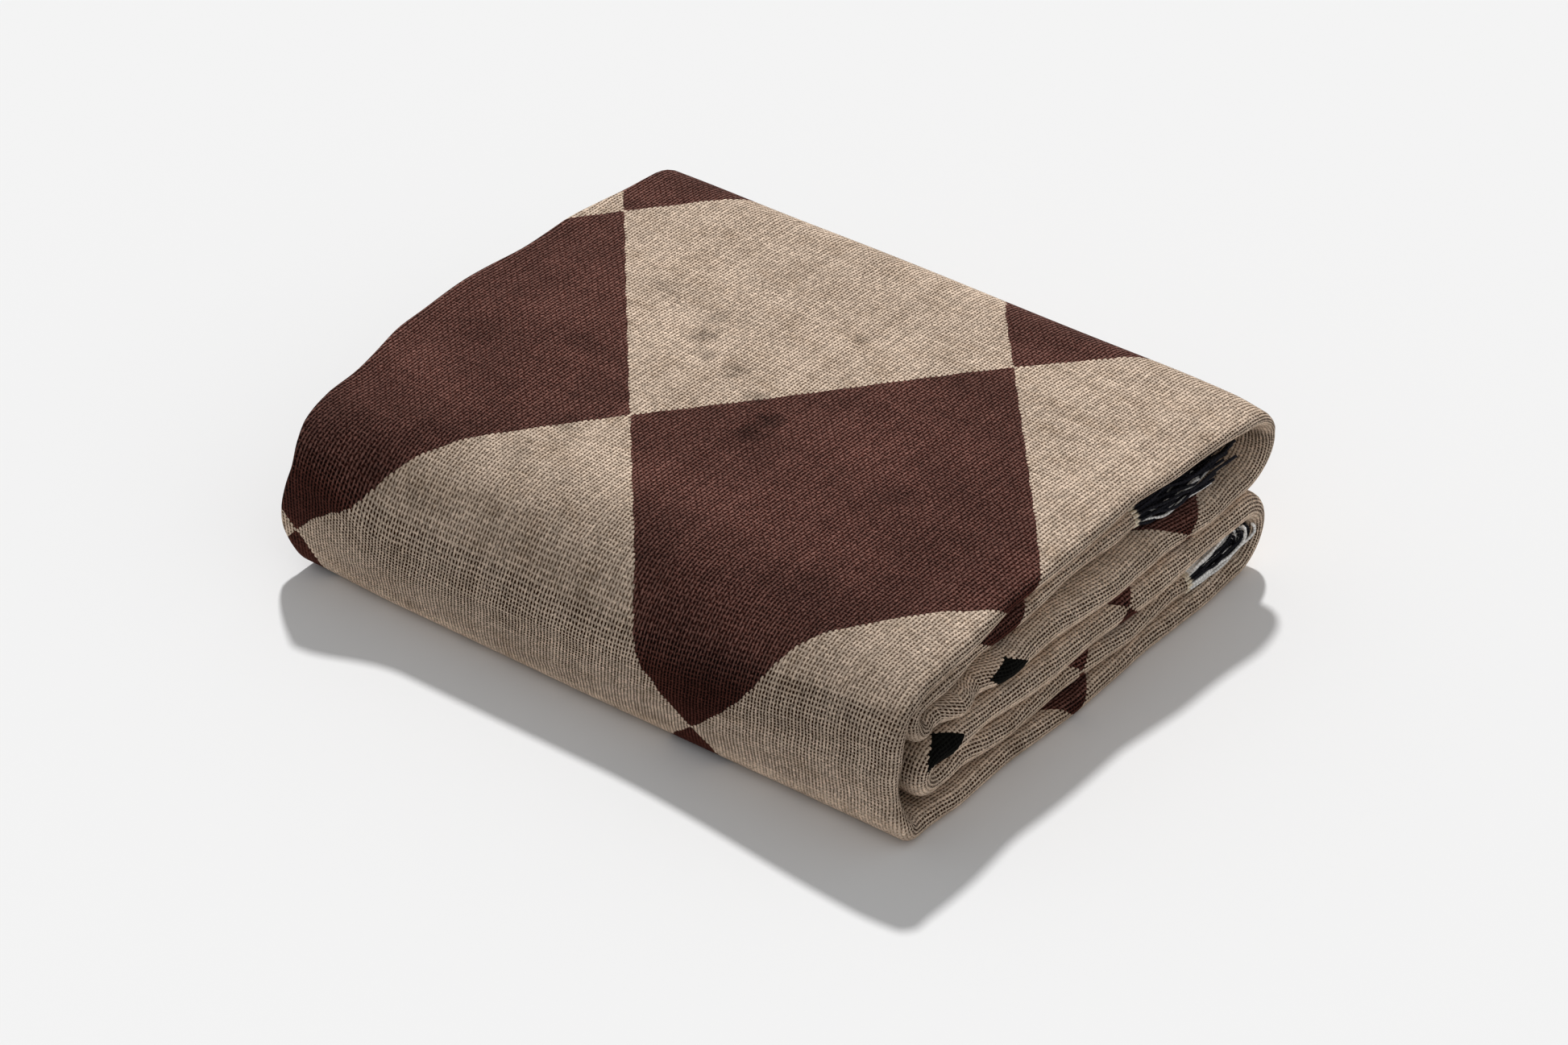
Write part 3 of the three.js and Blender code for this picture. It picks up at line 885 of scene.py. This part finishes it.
def fringe_yarn(fringe):
    """Twisted yarn: navy or white, pale and frayed where it leaves the cloth."""
    material, tree, shader = plain_material("fringe_yarn")
    along, tint, pale = (
        tree.out("ShaderNodeAttribute", output="Fac", attribute_name=name) for name in YARN_ATTRIBUTES
    )
    fuzz = tree.noise(tree.out("ShaderNodeTexCoord", output="Object"), *YARN_FUZZ)
    colour = tree.blend(pale, rgba(fringe.navy), rgba(fringe.white))
    rough_end = tree.fit(fuzz, 0.004, -0.002)
    frayed = tree.ramp(tree.plus(along, rough_end), fringe.fray * 0.8, fringe.fray * 1.2, 1.0, 0.0)
    colour = tree.blend(frayed, colour, rgba(fringe.cream))
    twist = tree.math("SINE", tree.times(along, 2 * math.pi / YARN_TWIST))
    shade = tree.plus(tree.fit(twist, 0.18, 0.50), tree.times(fuzz, 0.9))
    shade = tree.times(shade, tree.fit(tint, 0.3, 0.85))
    tree.put(shader.inputs["Base Color"], tree.scale(colour, shade))
    relief = {"Strength": 0.6, "Distance": 0.0003, "Height": twist}
    tree.put(shader.inputs["Normal"], tree.out("ShaderNodeBump", relief))
    shader.inputs["Roughness"].default_value = 0.85
    shader.inputs["Specular IOR Level"].default_value = 0.2
    return material


def fringe_tree():
    """Geometry nodes that hang a row of wavy yarns on a line."""
    group = bpy.data.node_groups.new("yarn_fringe", "GeometryNodeTree")
    group.interface.new_socket("Edge", in_out="INPUT", socket_type="NodeSocketGeometry")
    group.interface.new_socket("Fringe", in_out="OUTPUT", socket_type="NodeSocketGeometry")
    for kind, names in FRINGE_INPUTS.items():
        for name in names:
            group.interface.new_socket(name, in_out="INPUT", socket_type=kind)
    tree = Tree(group)
    size = tree.node("NodeGroupInput").outputs

    def chance(low, high, salt):
        """Random number of each yarn."""
        seed = tree.plus(size["Seed"], salt)
        return tree.out("FunctionNodeRandomValue", {"Seed": seed, 2: low, 3: high}, 1, data_type="FLOAT")

    def store(geometry, name, value, domain):
        inputs = {"Geometry": geometry, "Name": name, "Value": value}
        return tree.out("GeometryNodeStoreNamedAttribute", inputs, data_type="FLOAT", domain=domain)

    def stored(name):
        return tree.out("GeometryNodeInputNamedAttribute", {"Name": name}, data_type="FLOAT")

    line = tree.out("GeometryNodeMeshToCurve", {"Mesh": size["Edge"]})
    starts = tree.out("GeometryNodeCurveToPoints", {"Curve": line, "Length": size["Spacing"]}, mode="LENGTH")
    path = {
        "Resolution": 2 * YARN_STEPS, "Start": (0.0, 0.0, 0.0), "Start Handle": size["Bend"],
        "End Handle": size["Droop"], "End": size["Tip"],
    }
    yarn = tree.out("GeometryNodeCurvePrimitiveBezierSegment", path, mode="POSITION")
    yarn = tree.out("GeometryNodeResampleCurve", {"Curve": yarn, "Count": YARN_STEPS}, mode="COUNT")
    place = tree.out("GeometryNodeInputPosition")
    height = tree.out("ShaderNodeSeparateXYZ", {"Vector": place}, 2)
    length = tree.ramp(height, size["Low"], size["High"], size["Low length"], size["High length"])
    length = tree.times(length, chance(0.86, 1.03, 0))
    turn = tree.out("ShaderNodeCombineXYZ", {"X": chance(-0.05, 0.05, 1), "Z": chance(-0.10, 0.10, 2)})
    cords = {"Vector": place, "W": size["Seed"], "Scale": CORD_SCALE, "Detail": 0.0}
    cords = tree.out("ShaderNodeTexNoise", cords, noise_dimensions="4D")
    pale = tree.math("GREATER_THAN", stored("white"), 0.5)
    scatter = {"X": chance(-SCATTER, SCATTER, 5), "Z": chance(-SCATTER, SCATTER, 6)}
    scatter = tree.out("ShaderNodeCombineXYZ", scatter)
    starts = tree.out("GeometryNodeSetPosition", {"Geometry": starts, "Offset": scatter})
    inputs = {"Points": starts, "Instance": yarn, "Rotation": turn, "Scale": length}
    yarns = tree.out("GeometryNodeInstanceOnPoints", inputs)
    yarns = store(yarns, "yarn_tint", chance(0.0, 1.0, 4), "INSTANCE")
    yarns = store(yarns, "yarn_pale", pale, "INSTANCE")
    yarns = store(yarns, "yarn_cord", cords, "INSTANCE")
    yarns = tree.out("GeometryNodeRealizeInstances", {"Geometry": yarns})

    along = tree.node("GeometryNodeSplineParameter").outputs
    apart = tree.fit(stored("yarn_cord"), 7.0, tree.times(stored("yarn_tint"), 0.16))
    stray = {"Vector": place, "W": apart, "Scale": 36.0, "Detail": 1.0}
    stray = tree.out("ShaderNodeTexNoise", stray, "Color", noise_dimensions="4D")
    stray = tree.vector("SUBTRACT", stray, (0.5, 0.5, 0.54))
    loose = tree.ramp(along["Factor"], 0.0, 0.4)
    reach = tree.times(tree.times(size["Waviness"], 2.0), loose)
    stray = tree.scale(stray, reach)
    yarns = store(yarns, "yarn_along", along["Length"], "POINT")
    yarns = tree.out("GeometryNodeSetPosition", {"Geometry": yarns, "Offset": stray})
    ring = {"Resolution": YARN_SIDES, "Radius": size["Yarn radius"]}
    ring = tree.out("GeometryNodeCurvePrimitiveCircle", ring, mode="RADIUS")
    solid = {"Curve": yarns, "Profile Curve": ring, "Fill Caps": True}
    solid = tree.out("GeometryNodeCurveToMesh", solid)
    solid = tree.out("GeometryNodeSetShadeSmooth", {"Geometry": solid})
    solid = tree.out("GeometryNodeRealizeInstances", {"Geometry": solid})
    solid = tree.out("GeometryNodeSetMaterial", {"Geometry": solid, "Material": size["Yarn"]})
    tree.node("NodeGroupOutput", {"Fringe": solid})
    return group


def edge_line(name, station, thickness, white_cords):
    """Lines along the folded edge of the cloth that the yarns start from, more of them at the right end."""
    section = letter_fold(station, thickness)
    arc = section[(section[:, 2] > 0.01)]
    lines = [section]
    for inset in RIGHT_ROWS:
        row = arc.copy()
        row[:, :2] -= inset * arc[:, 2:4]
        lines.append(row)
    start = np.array((station["y"] - DEPTH / 2 + FRINGE_GAP, station["z"]))
    points = []
    edges = []
    white = []
    for line in lines:
        angle = np.degrees(np.arctan2(line[:, 3] * station["facing"][1], line[:, 2]))
        white.extend(any(low < value < high for low, high in white_cords) for value in angle)
        yz = start + line[:, 1:2] * np.array(station["facing"])
        edges.extend((index, index + 1) for index in range(len(points), len(points) + len(line) - 1))
        points.extend((settled(np.concatenate([line[:, :1], yz], 1)) * MM).tolist())
    mesh = bpy.data.meshes.new(name)
    mesh.from_pydata(points, edges, [])
    mesh.attributes.new("white", "FLOAT", "POINT").data.foreach_set("value", np.array(white, np.float32))
    line = bpy.data.objects.new(name, mesh)
    bpy.context.scene.collection.objects.link(line)
    return line


def apply_tree(piece, group, values):
    """Runs a geometry node tree with the values of its named inputs and keeps the plain mesh."""
    modifier = piece.modifiers.new(group.name, "NODES")
    modifier.node_group = group
    for socket in group.interface.items_tree:
        if socket.name in values:
            modifier[socket.identifier] = values[socket.name]
    evaluated = piece.evaluated_get(bpy.context.evaluated_depsgraph_get())
    mesh = bpy.data.meshes.new_from_object(evaluated)
    piece.modifiers.remove(modifier)
    if not mesh.polygons:
        raise RuntimeError(f"{piece.name} has no faces")
    piece.data = mesh


class THROW_OT_cloth(bpy.types.Operator):
    """Build the folded cloth"""

    bl_idname = "throw.cloth"
    bl_label = "Folded cloth"

    def execute(self, context):
        cloth = context.scene.throw_cloth
        points, quads, flat_map, rib_map, shares = cloth_arrays(cloth)
        piece = new_mesh_object("throw_cloth", points, quads)
        add_map(piece.data, "flat", flat_map)
        add_map(piece.data, "ribs", rib_map)
        for name, share in shares.items():
            layer = piece.data.attributes.new(name, "FLOAT", "POINT")
            layer.data.foreach_set("value", share.astype(np.float32))
        piece.data.materials.append(woven_cotton(cloth))
        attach(piece, "root")
        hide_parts("blanket_cloth")
        return {"FINISHED"}


class THROW_OT_fringes(bpy.types.Operator):
    """Build the two yarn fringes"""

    bl_idname = "throw.fringes"
    bl_label = "Yarn fringes"

    def execute(self, context):
        fringe = context.scene.throw_fringe
        stations = cloth_stations()
        group = fringe_tree()
        yarn = fringe_yarn(fringe)
        for row in FRINGES:
            name = row["name"]
            thickness = context.scene.throw_cloth.thickness / MM
            piece = edge_line(f"throw_fringe_{name}", stations[row["edge"]], thickness, row["white"])
            heights = [vertex.co.z for vertex in piece.data.vertices]
            values = {
                "Spacing": fringe.spacing, "Yarn radius": fringe.yarn, "Seed": row["seed"], "Yarn": yarn,
                "Waviness": row["stray"] * fringe.waviness, "Low": min(heights), "High": max(heights),
                "Low length": row["lengths"][0], "High length": row["lengths"][1],
            }
            for handle in ("bend", "droop", "tip"):
                values[handle.capitalize()] = [part * MM for part in row[handle]]
            apply_tree(piece, group, values)
            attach(piece, "root")
            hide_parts(f"fringe_{name}")
        return {"FINISHED"}


class THROW_OT_stage(bpy.types.Operator):
    """Set the floor, the lights and the camera"""

    bl_idname = "throw.stage"
    bl_label = "Stage"

    def execute(self, context):
        scene = context.scene
        stage = scene.throw_stage
        towards = Vector((math.sin(stage.azimuth), -math.cos(stage.azimuth), 0.0))
        back = towards * math.cos(stage.elevation) + Vector((0, 0, math.sin(stage.elevation)))
        camera_data = bpy.data.cameras.new("camera")
        camera_data.lens = stage.lens
        camera_data.sensor_width = 36.0
        camera_data.clip_end = CAMERA_END
        camera = bpy.data.objects.new("camera", camera_data)
        camera.location = Vector(LOOK_AT) + back * stage.distance
        camera.rotation_euler = (-back).to_track_quat("-Z", "Y").to_euler()
        scene.collection.objects.link(camera)
        scene.camera = camera

        corners = np.array([(-1, -1, 0), (1, -1, 0), (1, 1, 0), (-1, 1, 0)]) * FLOOR_HALF
        floor = new_mesh_object("floor", corners, np.array([(0, 1, 2, 3)]))
        material, _, shader = plain_material("pale_floor")
        shader.inputs["Base Color"].default_value = rgba(stage.floor)
        shader.inputs["Roughness"].default_value = 0.9
        shader.inputs["Specular IOR Level"].default_value = 0.1
        floor.data.materials.append(material)
        floor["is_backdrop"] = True

        light = bpy.data.lights.new("key", "SUN")
        light.energy = stage.key_strength
        light.angle = stage.key_width
        key = bpy.data.objects.new("key", light)
        aim = -towards * math.cos(stage.key_height) + Vector((0, 0, math.sin(stage.key_height)))
        key.location = aim
        key.rotation_euler = aim.to_track_quat("Z", "Y").to_euler()
        scene.collection.objects.link(key)

        world = bpy.data.worlds.new("studio")
        world.use_nodes = True
        background = world.node_tree.nodes["Background"]
        background.inputs["Color"].default_value = (1.0, 1.0, 1.0, 1.0)
        background.inputs["Strength"].default_value = stage.fill
        scene.world = world
        scene.view_settings.view_transform = "Standard"
        return {"FINISHED"}


class THROW_PT_panel(bpy.types.Panel):
    bl_idname = "THROW_PT_panel"
    bl_label = "Throw"
    bl_space_type = "VIEW_3D"
    bl_region_type = "UI"
    bl_category = "Throw"

    def draw(self, context):
        for group, operator in PANEL_ROWS:
            box = self.layout.box()
            settings = getattr(context.scene, group)
            for name in settings.__annotations__:
                box.prop(settings, name)
            box.operator(operator)


PANEL_ROWS = (
    ("throw_cloth", "throw.cloth"),
    ("throw_fringe", "throw.fringes"),
    ("throw_stage", "throw.stage"),
)
GROUPS = {"throw_cloth": ThrowCloth, "throw_fringe": ThrowFringe, "throw_stage": ThrowStage}
CLASSES = (*GROUPS.values(), THROW_OT_cloth, THROW_OT_fringes, THROW_OT_stage, THROW_PT_panel)


def register():
    for cls in CLASSES:
        bpy.utils.register_class(cls)
    for name, group in GROUPS.items():
        setattr(bpy.types.Scene, name, PointerProperty(type=group))


def unregister():
    for name in GROUPS:
        delattr(bpy.types.Scene, name)
    for cls in reversed(CLASSES):
        bpy.utils.unregister_class(cls)


def main():
    register()
    bpy.ops.throw.stage()
    bpy.ops.throw.cloth()
    bpy.ops.throw.fringes()
    boxes = {"cad": CAD_BOX, "visual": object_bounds()}
    {name: [list(corner) for corner in box] for name, box in boxes.items()}


if __name__ == "__main__":
    main()
